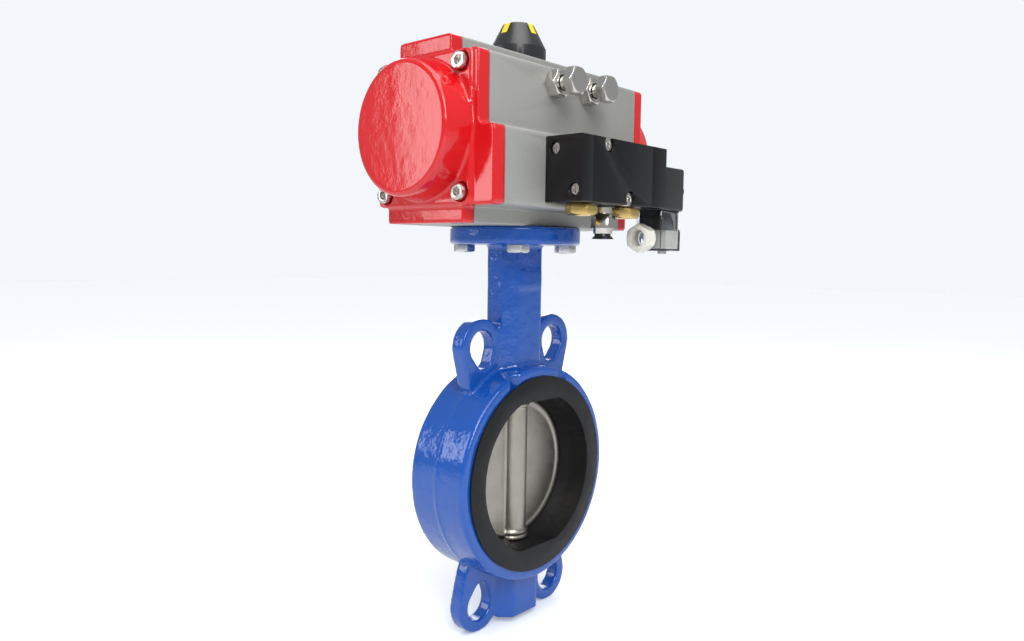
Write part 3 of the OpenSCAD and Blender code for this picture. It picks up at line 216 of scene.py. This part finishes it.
def flatten():
    bpy.ops.mesh.dissolve_limited(angle_limit=math.radians(0.6))


def settle(piece):
    """Puts the piece's place into its mesh."""
    only(piece)
    bpy.ops.object.transform_apply(location=True, rotation=True, scale=True)


def apply_modifier(piece, kind, **values):
    """Adds one modifier with the given values and applies it."""
    only(piece)
    modifier = piece.modifiers.new(kind.lower(), kind)
    for key, value in values.items():
        setattr(modifier, key, value)
    bpy.ops.object.modifier_apply(modifier=modifier.name)


def smooth(piece, degrees=35):
    only(piece)
    bpy.ops.object.shade_smooth_by_angle(angle=math.radians(degrees))


def twin(node, name):
    """A free copy of a CAD node, merged into closed shells."""
    source = frame["nodes"][node]
    only(source)
    bpy.ops.object.duplicate()
    piece = bpy.context.object
    piece.parent = None
    piece.name = name
    piece.data.name = name
    for key in [k for k in piece.keys() if k.startswith("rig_")]:
        del piece[key]
    edit_all(piece, merge)
    return piece


def join(first, *others):
    only(first)
    for other in others:
        other.select_set(True)
    bpy.ops.object.join()
    return first


def dress(piece, material):
    piece.data.materials.clear()
    piece.data.materials.append(material)


def place(piece, node, material):
    """Finishes a piece: gives it its material and its body, and hides the CAD node that it stands for."""
    dress(piece, material)
    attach(piece, BODY_OF[node])
    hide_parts(node)


def break_edges(piece, width, degrees, segments=2):
    """Breaks every edge of the piece that is sharper than an angle."""
    edit_all(piece, flatten)
    apply_modifier(piece, "BEVEL", width=width, segments=segments, limit_method="ANGLE",
                   angle_limit=math.radians(degrees))


def machined(node, name, material, width, degrees=35, segments=2):
    """A machined or moulded piece: the node's shape with every sharp edge broken."""
    piece = twin(node, name)
    break_edges(piece, width, degrees, segments)
    smooth(piece, degrees)
    place(piece, node, material)


def pick(piece, wanted):
    """Selects the vertices whose place passes a test, in edit mode."""
    bpy.ops.object.mode_set(mode="OBJECT")
    for part in (piece.data.polygons, piece.data.edges, piece.data.vertices):
        part.foreach_set("select", [False] * len(part))
    for vertex in piece.data.vertices:
        vertex.select = wanted(vertex.co)
    bpy.ops.object.mode_set(mode="EDIT")
    bpy.ops.mesh.select_mode(type="VERT")


def threaded(name, radius, low, high, pitch, depth, bore=0.0):
    """A threaded rod or tube along Z, its wall drawn in between ridges one pitch apart."""
    bpy.ops.object.select_all(action="DESELECT")
    bpy.ops.mesh.primitive_cylinder_add(vertices=THREAD_SIDES, radius=radius, depth=high - low,
                                        location=(0, 0, (low + high) / 2))
    piece = bpy.context.object
    piece.name = name
    settle(piece)
    bpy.ops.object.mode_set(mode="EDIT")
    if bore:
        pick(piece, lambda at: True)
        bpy.ops.mesh.select_mode(type="FACE")
        bpy.ops.mesh.select_all(action="DESELECT")
        bpy.ops.mesh.select_face_by_sides(number=THREAD_SIDES)
        bpy.ops.mesh.inset(thickness=radius - bore, use_even_offset=True)
        bpy.ops.mesh.bridge_edge_loops()
    root = 1 - depth / radius
    for step in range(1, int((high - low) / pitch * 2)):
        height = low + step * pitch / 2
        pick(piece, lambda at: math.hypot(at.x, at.y) > radius - 2 * depth)
        bpy.ops.mesh.bisect(plane_co=(0, 0, height), plane_no=(0, 0, 1))
        if step % 2:
            pick(piece, lambda at: abs(at.z - height) < pitch / 8
                 and math.hypot(at.x, at.y) > radius - depth / 2)
            bpy.ops.transform.resize(value=(root, root, 1), center_override=(0, 0, height))
    bpy.ops.object.mode_set(mode="OBJECT")
    return piece


def cut_off(piece, at, towards):
    """Removes what lies beyond a plane and closes the cut."""
    edit_all(piece, lambda: bpy.ops.mesh.bisect(plane_co=at, plane_no=towards, use_fill=True,
                                                clear_outer=True))


# ----------------------------------------------------------------- materials

def new_group(name, inputs, outputs):
    """An empty shader node group with named sockets."""
    group = bpy.data.node_groups.new(name, "ShaderNodeTree")
    for label, kind, value in inputs:
        socket = group.interface.new_socket(label, in_out="INPUT", socket_type=kind)
        socket.default_value = value
    for label, kind in outputs:
        group.interface.new_socket(label, in_out="OUTPUT", socket_type=kind)
    return group, group.nodes.new("NodeGroupInput"), group.nodes.new("NodeGroupOutput")


def noise_in(group, source, scale_name, detail, roughness=0.5):
    """A noise texture on Object coordinates whose scale is a group input."""
    place_in = group.nodes.new("ShaderNodeTexCoord")
    noise = group.nodes.new("ShaderNodeTexNoise")
    noise.inputs["Detail"].default_value = detail
    noise.inputs["Roughness"].default_value = roughness
    group.links.new(place_in.outputs["Object"], noise.inputs["Vector"])
    group.links.new(source.outputs[scale_name], noise.inputs["Scale"])
    return noise


def spread(group, value, source, low, high):
    """Maps a 0 to 1 value to the range between two group inputs."""
    node = group.nodes.new("ShaderNodeMapRange")
    node.inputs["From Min"].default_value = 0.3
    node.inputs["From Max"].default_value = 0.7
    group.links.new(value, node.inputs["Value"])
    group.links.new(source.outputs[low], node.inputs["To Min"])
    group.links.new(source.outputs[high], node.inputs["To Max"])
    return node.outputs["Result"]


def make_mottle():
    """Group: slow variation of a colour and a roughness."""
    group, source, sink = new_group("Mottle", [
        ("Colour A", "NodeSocketColor", (0.5, 0.5, 0.5, 1)),
        ("Colour B", "NodeSocketColor", (0.4, 0.4, 0.4, 1)),
        ("Scale", "NodeSocketFloat", 60), ("Rough low", "NodeSocketFloat", 0.3),
        ("Rough high", "NodeSocketFloat", 0.4)
    ], [("Colour", "NodeSocketColor"), ("Roughness", "NodeSocketFloat")])
    noise = noise_in(group, source, "Scale", 5, 0.6)
    mix = group.nodes.new("ShaderNodeMix")
    mix.data_type = "RGBA"
    group.links.new(noise.outputs["Fac"], mix.inputs["Factor"])
    group.links.new(source.outputs["Colour A"], mix.inputs["A"])
    group.links.new(source.outputs["Colour B"], mix.inputs["B"])
    group.links.new(mix.outputs["Result"], sink.inputs["Colour"])
    group.links.new(spread(group, noise.outputs["Fac"], source, "Rough low", "Rough high"),
                    sink.inputs["Roughness"])
    return group


def make_relief():
    """Group: a surface normal with a coarse and a fine unevenness."""
    group, source, sink = new_group("Relief", [
        ("Coarse scale", "NodeSocketFloat", 150), ("Coarse depth", "NodeSocketFloat", 0.0002),
        ("Fine scale", "NodeSocketFloat", 1500), ("Fine depth", "NodeSocketFloat", 0.00002)
    ], [("Normal", "NodeSocketVector")])
    last = None
    for scale, depth, detail in (("Coarse scale", "Coarse depth", 2), ("Fine scale", "Fine depth", 3)):
        bump = group.nodes.new("ShaderNodeBump")
        noise = noise_in(group, source, scale, detail)
        group.links.new(noise.outputs["Fac"], bump.inputs["Height"])
        group.links.new(source.outputs[depth], bump.inputs["Distance"])
        if last:
            group.links.new(last.outputs["Normal"], bump.inputs["Normal"])
        last = bump
    group.links.new(last.outputs["Normal"], sink.inputs["Normal"])
    return group


GROUPS = {}


def shade(name, colour, second, rough, mottle_scale, relief, metallic=0.0, **sockets):
    """A Principled material whose colour, roughness and normal come from the shared groups."""
    material = bpy.data.materials.new(name)
    material.use_nodes = True
    nodes, links = material.node_tree.nodes, material.node_tree.links
    shader = nodes["Principled BSDF"]
    mottle = nodes.new("ShaderNodeGroup")
    mottle.node_tree = GROUPS["mottle"]
    mottle.inputs["Colour A"].default_value = (*colour, 1)
    mottle.inputs["Colour B"].default_value = (*second, 1)
    mottle.inputs["Scale"].default_value = mottle_scale
    mottle.inputs["Rough low"].default_value = rough[0]
    mottle.inputs["Rough high"].default_value = rough[1]
    uneven = nodes.new("ShaderNodeGroup")
    uneven.node_tree = GROUPS["relief"]
    for label, value in zip(("Coarse scale", "Coarse depth", "Fine scale", "Fine depth"), relief):
        uneven.inputs[label].default_value = value
    links.new(mottle.outputs["Colour"], shader.inputs["Base Color"])
    links.new(mottle.outputs["Roughness"], shader.inputs["Roughness"])
    links.new(uneven.outputs["Normal"], shader.inputs["Normal"])
    shader.inputs["Metallic"].default_value = metallic
    for label, value in sockets.items():
        shader.inputs[label.replace("_", " ")].default_value = value
    return material


def tint(colour, share):
    return tuple(c * share for c in colour)


def enamel(name, colour, relief):
    """Thick glossy enamel: uneven, with an orange-peel skin under a clear gloss."""
    return shade(name, colour, tint(colour, 0.86), (0.07, 0.13), 40, relief,
                 Coat_Weight=0.3, Coat_Roughness=0.03)


def metal(name, colour, rough, relief=(300, 0.00003, 4000, 0.000006)):
    """Bare metal with slow changes of tone."""
    return shade(name, colour, tint(colour, 0.88), rough, 90, relief, metallic=1.0)


def plastic(name, colour, rough, **sockets):
    """Moulded plastic or rubber with a faint grain."""
    return shade(name, colour, tint(colour, 0.9), rough, 120, (500, 0.00004, 5000, 0.000008), **sockets)


def clear_plastic():
    """Clear moulded housing with a slight smoky tone."""
    return shade("clear_housing", (0.93, 0.95, 0.96), (0.90, 0.92, 0.93), (0.02, 0.04), 80,
                 (180, 0.00004, 3000, 0.000002), Transmission_Weight=1.0, IOR=1.3)


def make_materials():
    casting, hardware, _ = settings()
    GROUPS["mottle"] = make_mottle()
    GROUPS["relief"] = make_relief()
    blasted = (700, 0.00005, 2600, 0.00006)
    return {
        "painted_cast_iron": enamel("blue_enamel", casting.blue, (120, 0.0006, 480, 0.00008)),
        "painted_end_cap": enamel("red_enamel", casting.red, (150, 0.00016, 620, 0.00005)),
        "anodised_aluminium": shade("blasted_anodising", hardware.grey, tint(hardware.grey, 0.88),
                                    (0.46, 0.56), 900, blasted, metallic=0.35),
        "black_anodised_aluminium": shade("black_anodising", tint(hardware.black, 0.45),
                                          tint(hardware.black, 0.3), (0.34, 0.44), 300,
                                          (600, 0.00002, 3500, 0.00002), Specular_IOR_Level=0.3),
        "seat_rubber": plastic("seat_rubber", (0.006, 0.006, 0.0065), (0.38, 0.50),
                               Specular_IOR_Level=0.28),
        "cast_stainless": metal("cast_stainless", (0.41, 0.385, 0.335), (0.34, 0.46),
                                (500, 0.00012, 2500, 0.00004)),
        "stainless_steel": metal("turned_stainless", (0.66, 0.64, 0.60), (0.18, 0.30)),
        "zinc_plated_steel": metal("zinc_plate", (0.70, 0.71, 0.70), (0.22, 0.36)),
        "spring_steel": metal("oiled_spring_steel", (0.30, 0.30, 0.31), (0.25, 0.38)),
        "bearing_plastic": plastic("bearing_plastic", (0.80, 0.77, 0.70), (0.35, 0.45)),
        "bare_aluminium": metal("machined_aluminium", (0.72, 0.72, 0.72), (0.25, 0.36)),
        "indicator_plastic": plastic("indicator_plastic", (0.022, 0.022, 0.024), (0.26, 0.36)),
        "indicator_yellow": plastic("indicator_yellow", (0.80, 0.66, 0.02), (0.30, 0.42)),
        "coil_plastic": plastic("coil_plastic", (0.016, 0.016, 0.018), (0.38, 0.50)),
        "button_plastic": plastic("button_plastic", (0.75, 0.28, 0.03), (0.30, 0.42)),
        "clear_plastic": clear_plastic(),
        "pale_plastic": plastic("gland_nylon", (0.76, 0.74, 0.66), (0.34, 0.46)),
        "brass": metal("turned_brass", (0.78, 0.56, 0.20), (0.16, 0.28)),
        "nickel_plated_brass": metal("nickel_plate", (0.62, 0.59, 0.54), (0.10, 0.20)),
        "collar_plastic": plastic("collar_plastic", (0.012, 0.012, 0.012), (0.18, 0.28)),
    }


SLOT_MATERIAL = {}


def finish_of(node):
    return SLOT_MATERIAL[SLOT_OF[node]]


# -------------------------------------------------------------------- pieces

def blended(piece, grid, passes, lumps=0.0):
    """Forms the piece anew on a grid, so that its corners fill and its edges round like a casting."""
    apply_modifier(piece, "REMESH", mode="VOXEL", voxel_size=grid, adaptivity=0)
    apply_modifier(piece, "SMOOTH", factor=0.5, iterations=passes)
    if lumps:
        clouds = bpy.data.textures.new(piece.name + "_lumps", "CLOUDS")
        clouds.noise_scale = LUMP_SPACING * MM
        clouds.noise_depth = 1
        apply_modifier(piece, "DISPLACE", texture=clouds, texture_coords="LOCAL", strength=lumps,
                       mid_level=1)
    smooth(piece, 180)


class VALVE_OT_finishes(bpy.types.Operator):
    """Makes every finish and gives it to the frame's own pieces"""

    bl_idname = "valve.finishes"
    bl_label = "Finishes"

    def execute(self, context):
        SLOT_MATERIAL.update(make_materials())
        for node, piece in frame["nodes"].items():
            dress(piece, finish_of(node))
        return {"FINISHED"}


class VALVE_OT_cast_body(bpy.types.Operator):
    """Cast and painted valve body, with blends at its neck, ears and boss"""

    bl_idname = "valve.cast_body"
    bl_label = "Cast body"

    def execute(self, context):
        casting = settings()[0]
        piece = join(twin("valve_body", "cast_body"), parting_ridge(casting.parting),
                     neck_field(casting.field))
        blended(piece, casting.body_grain, 2, casting.lumps)
        place(piece, "valve_body", finish_of("valve_body"))
        return {"FINISHED"}


def parting_ridge(height):
    """Ridge round the barrel where the two halves of the mould met."""
    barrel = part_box("seat_liner")[1].x + RIM * MM
    bpy.ops.object.select_all(action="DESELECT")
    bpy.ops.mesh.primitive_torus_add(major_radius=barrel, minor_radius=height, major_segments=RIDGE_STEPS,
                                     minor_segments=8, rotation=(math.radians(90), 0, 0))
    piece = bpy.context.object
    settle(piece)
    return piece


def neck_field(height):
    """Bare raised field on the front of the neck."""
    bpy.ops.object.select_all(action="DESELECT")
    bpy.ops.mesh.primitive_cube_add(size=1, location=(0, -NECK_Y * MM, FIELD_Z * MM))
    piece = bpy.context.object
    piece.scale = (FIELD_SIZE[0] * MM, 2 * height, FIELD_SIZE[1] * MM)
    settle(piece)
    apply_modifier(piece, "BEVEL", width=height / 2, segments=2)
    return piece


class VALVE_OT_seat(bpy.types.Operator):
    """Rubber seat with softened lips"""

    bl_idname = "valve.seat"
    bl_label = "Rubber seat"

    def execute(self, context):
        machined("seat_liner", "rubber_seat", finish_of("seat_liner"), SEAT_EDGE * MM, SEAT_CORNER, 3)
        return {"FINISHED"}


class VALVE_OT_disc(bpy.types.Operator):
    """Cast disc with filleted hub"""

    bl_idname = "valve.disc"
    bl_label = "Disc"

    def execute(self, context):
        piece = twin("valve_disc", "cast_disc")
        blended(piece, settings()[0].disc_grain, 4)
        place(piece, "valve_disc", finish_of("valve_disc"))
        return {"FINISHED"}


class VALVE_OT_end_caps(bpy.types.Operator):
    """The two painted end caps"""

    bl_idname = "valve.end_caps"
    bl_label = "End caps"

    def execute(self, context):
        casting = settings()[0]
        for side in ("left", "right"):
            piece = twin("end_cap_" + side, "painted_cap_" + side)
            blended(piece, casting.cap_grain, 1, casting.cap_lumps)
            place(piece, "end_cap_" + side, finish_of("end_cap_" + side))
        return {"FINISHED"}


class VALVE_OT_cylinder(bpy.types.Operator):
    """Extruded cylinder body with broken edges"""

    bl_idname = "valve.cylinder"
    bl_label = "Cylinder body"

    def execute(self, context):
        edge = settings()[1].edge
        machined("actuator_body", "cylinder_body", finish_of("actuator_body"), edge, MACHINED_CORNER)
        return {"FINISHED"}


class VALVE_OT_indicator(bpy.types.Operator):
    """Dome of the position indicator with broken edges"""

    bl_idname = "valve.indicator"
    bl_label = "Indicator"

    def execute(self, context):
        machined("indicator_dome", "dome", finish_of("indicator_dome"), DOME_EDGE * MM)
        return {"FINISHED"}


class VALVE_OT_solenoid(bpy.types.Operator):
    """Solenoid valve: block, covers, coil and connector"""

    bl_idname = "valve.solenoid"
    bl_label = "Solenoid valve"

    def execute(self, context):
        edge = settings()[1].edge
        for node in ("valve_block", "plain_cover", "pilot_head"):
            machined(node, "black_" + node, finish_of(node), edge, MACHINED_CORNER)
        for node in ("coil", "coil_nut", "gland_nut", "connector_hood", "contact_carrier", "terminal_block"):
            machined(node, "moulded_" + node, finish_of(node), edge, MACHINED_CORNER)
        return {"FINISHED"}


class VALVE_OT_fasteners(bpy.types.Operator):
    """Screws, nuts and turned fittings with broken edges"""

    bl_idname = "valve.fasteners"
    bl_label = "Fasteners"

    def execute(self, context):
        for node in ("cap_screws", "flange_bolts", "lock_nuts", "cover_screws", "block_screws",
                     "silencers", "release_collar", "indicator_screw"):
            machined(node, "turned_" + node, finish_of(node), TURNED_EDGE * MM, TURNED_CORNER)
        make_stop_bolts()
        make_fitting()
        return {"FINISHED"}


def make_stop_bolts():
    """Travel stops: hexagon heads on fully threaded shanks."""
    hardware = settings()[1]
    low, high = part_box("stop_bolts")
    head_y = low.y + hardware.stop_head
    heads = twin("stop_bolts", "threaded_stop_bolts")
    cut_off(heads, (0, head_y, 0), (0, 1, 0))
    break_edges(heads, TURNED_EDGE * MM, TURNED_CORNER)
    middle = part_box("lock_nuts")
    nut = (middle[1].z - middle[0].z) / 2
    for side in (-1, 1):
        rod = threaded("stop_thread", STOP_THREAD * MM, 0, high.y - head_y, hardware.thread_pitch,
                       hardware.thread_depth)
        rod.rotation_euler = (math.radians(-90), 0, 0)
        rod.location = (side * STOP_X * MM, head_y, middle[0].z + nut)
        settle(rod)
        join(heads, rod)
    smooth(heads, TURNED_CORNER)
    place(heads, "stop_bolts", finish_of("stop_bolts"))


def make_fitting():
    """Push-in fitting: hexagon and neck with a threaded stub above them."""
    low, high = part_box("fitting_body")
    middle = (low + high) / 2
    hex_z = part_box("valve_block")[0].z - FITTING_HEX * MM
    lower = twin("fitting_body", "threaded_fitting")
    cut_off(lower, (0, 0, hex_z), (0, 0, 1))
    break_edges(lower, FITTING_EDGE * MM, TURNED_CORNER)
    stub = threaded("fitting_thread", FITTING_THREAD * MM, hex_z - FITTING_OVERLAP * MM, high.z,
                    FITTING_PITCH * MM, FITTING_DEPTH * MM, FITTING_BORE * MM)
    stub.location = (middle.x, middle.y, 0)
    settle(stub)
    join(lower, stub)
    smooth(lower, TURNED_CORNER)
    place(lower, "fitting_body", finish_of("fitting_body"))


class VALVE_OT_stage(bpy.types.Operator):
    """Camera, pale floor and soft lamps"""

    bl_idname = "valve.stage"
    bl_label = "Stage"

    def execute(self, context):
        stage = settings()[2]
        make_camera(stage)
        make_floor()
        make_world()
        make_lamps()
        context.scene.view_settings.view_transform = "Standard"
        return {"FINISHED"}


def make_camera(stage):
    level = Vector((math.cos(stage.heading), math.sin(stage.heading), 0))
    side = Vector((math.sin(stage.heading), -math.cos(stage.heading), 0))
    up = Vector((0, 0, 1))
    ahead = level * math.cos(stage.tilt) - up * math.sin(stage.tilt)
    above = up * math.cos(stage.tilt) + level * math.sin(stage.tilt)
    right = side * math.cos(stage.roll) + above * math.sin(stage.roll)
    top = above * math.cos(stage.roll) - side * math.sin(stage.roll)
    camera = bpy.data.objects.new("camera", bpy.data.cameras.new("camera"))
    camera.data.lens = stage.lens
    camera.data.sensor_width = 36
    camera.matrix_world = Matrix((right, top, -ahead)).transposed().to_4x4()
    camera.location = stage.eye
    bpy.context.scene.collection.objects.link(camera)
    bpy.context.scene.camera = camera


def make_floor():
    bpy.ops.object.select_all(action="DESELECT")
    bpy.ops.mesh.primitive_plane_add(size=FLOOR_SIZE, location=(0, 0, CAD_BOX[0].z))
    floor = bpy.context.object
    floor.name = "floor"
    settle(floor)
    material = bpy.data.materials.new("pale_floor")
    material.use_nodes = True
    nodes, links = material.node_tree.nodes, material.node_tree.links
    shader = nodes["Principled BSDF"]
    shader.inputs["Base Color"].default_value = (0.84, 0.86, 0.89, 1)
    shader.inputs["Roughness"].default_value = 0.8
    shader.inputs["Emission Color"].default_value = (0.92, 0.95, 1.0, 1)
    rays = nodes.new("ShaderNodeLightPath")
    lift = nodes.new("ShaderNodeMath")
    lift.operation = "MULTIPLY"
    lift.inputs[1].default_value = FLOOR_LIFT
    links.new(rays.outputs["Is Camera Ray"], lift.inputs[0])
    links.new(lift.outputs["Value"], shader.inputs["Emission Strength"])
    dress(floor, material)


def make_world():
    """Dim even light on the object, in front of a pale backdrop that only the camera sees."""
    world = bpy.data.worlds.new("studio")
    world.use_nodes = True
    nodes, links = world.node_tree.nodes, world.node_tree.links
    ambient = nodes["Background"]
    ambient.inputs["Color"].default_value = (0.94, 0.97, 1.0, 1)
    ambient.inputs["Strength"].default_value = 0.42
    backdrop = nodes.new("ShaderNodeBackground")
    backdrop.inputs["Color"].default_value = (0.90, 0.93, 0.97, 1)
    rays = nodes.new("ShaderNodeLightPath")
    mix = nodes.new("ShaderNodeMixShader")
    links.new(rays.outputs["Is Camera Ray"], mix.inputs["Fac"])
    links.new(ambient.outputs["Background"], mix.inputs[1])
    links.new(backdrop.outputs["Background"], mix.inputs[2])
    links.new(mix.outputs["Shader"], nodes["World Output"].inputs["Surface"])
    bpy.context.scene.world = world


def make_lamps():
    """A wide soft sun for the floor, and soft boxes whose reflections shape the gloss."""
    centre = (CAD_BOX[0] + CAD_BOX[1]) / 2
    for name, at, size, power in (
        ("cap_box", (-0.95, 0.71, 0.44), (0.37, 0.5), 2.0),
        ("key_box", (-0.78, -1.0, 0.85), (0.45, 0.7), 9),
        ("top_box", (0.1, -0.1, 1.5), (1.0, 1.0), 7),
        ("back_box", (1.0, 1.1, 0.7), (0.8, 0.8), 8),
    ):
        lamp = bpy.data.lights.new(name, "AREA")
        lamp.shape = "RECTANGLE"
        lamp.size, lamp.size_y = size
        lamp.energy = power
        add_lamp(lamp, at, centre)
    sun = bpy.data.lights.new("soft_sun", "SUN")
    sun.energy = 1.5
    sun.angle = math.radians(50)
    add_lamp(sun, (-0.5, -0.7, 1.4), centre)


def add_lamp(lamp, at, centre):
    holder = bpy.data.objects.new(lamp.name, lamp)
    holder.location = at
    holder.rotation_euler = (centre - Vector(at)).to_track_quat("-Z", "Y").to_euler()
    bpy.context.scene.collection.objects.link(holder)


class VALVE_PT_panel(bpy.types.Panel):
    """Lists the valve's operators and settings"""

    bl_label = "Valve"
    bl_idname = "VALVE_PT_panel"
    bl_space_type = "VIEW_3D"
    bl_region_type = "UI"
    bl_category = "Valve"

    def draw(self, context):
        for group in settings():
            for name in group.__annotations__:
                self.layout.prop(group, name)
        for operator in OPERATORS:
            self.layout.operator(operator.bl_idname)


OPERATORS = (VALVE_OT_finishes, VALVE_OT_cast_body, VALVE_OT_seat, VALVE_OT_disc, VALVE_OT_end_caps,
             VALVE_OT_cylinder, VALVE_OT_indicator, VALVE_OT_solenoid, VALVE_OT_fasteners, VALVE_OT_stage)
CLASSES = (ValveCasting, ValveHardware, ValveStage, *OPERATORS, VALVE_PT_panel)


def register():
    for cls in CLASSES:
        bpy.utils.register_class(cls)
    bpy.types.Scene.valve_casting = bpy.props.PointerProperty(type=ValveCasting)
    bpy.types.Scene.valve_hardware = bpy.props.PointerProperty(type=ValveHardware)
    bpy.types.Scene.valve_stage = bpy.props.PointerProperty(type=ValveStage)


def unregister():
    del bpy.types.Scene.valve_stage
    del bpy.types.Scene.valve_hardware
    del bpy.types.Scene.valve_casting
    for cls in reversed(CLASSES):
        bpy.utils.unregister_class(cls)


def main():
    register()
    for operator in OPERATORS:
        area, name = operator.bl_idname.split(".")
        getattr(getattr(bpy.ops, area), name)()


if __name__ == "__main__":
    main()
